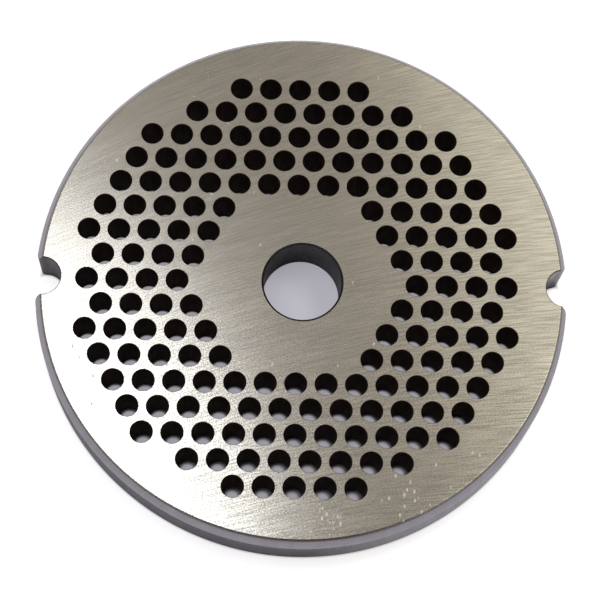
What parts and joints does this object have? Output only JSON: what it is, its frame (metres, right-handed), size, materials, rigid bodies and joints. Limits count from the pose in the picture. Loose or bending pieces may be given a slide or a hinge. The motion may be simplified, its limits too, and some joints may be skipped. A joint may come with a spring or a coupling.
{
  "type": "meat grinder plate",
  "caption": "Flat round steel plate with a centre bore, a locating notch on each side of the rim and a field of straight holes on a triangular grid.",
  "frame": {"origin": "centre of the bore in the back face, on which the plate lies", "axes": "+Z along the bore, out of the knife face; +X along the rows of holes, through the right notch; the left notch is at -X"},
  "size_m": [0.0818, 0.082, 0.009],
  "materials": {
    "plate_steel": "surface ground, bare"
  },
  "bodies": {
    "root": {"grinder_plate": "plate_steel"}
  },
  "joints": []
}
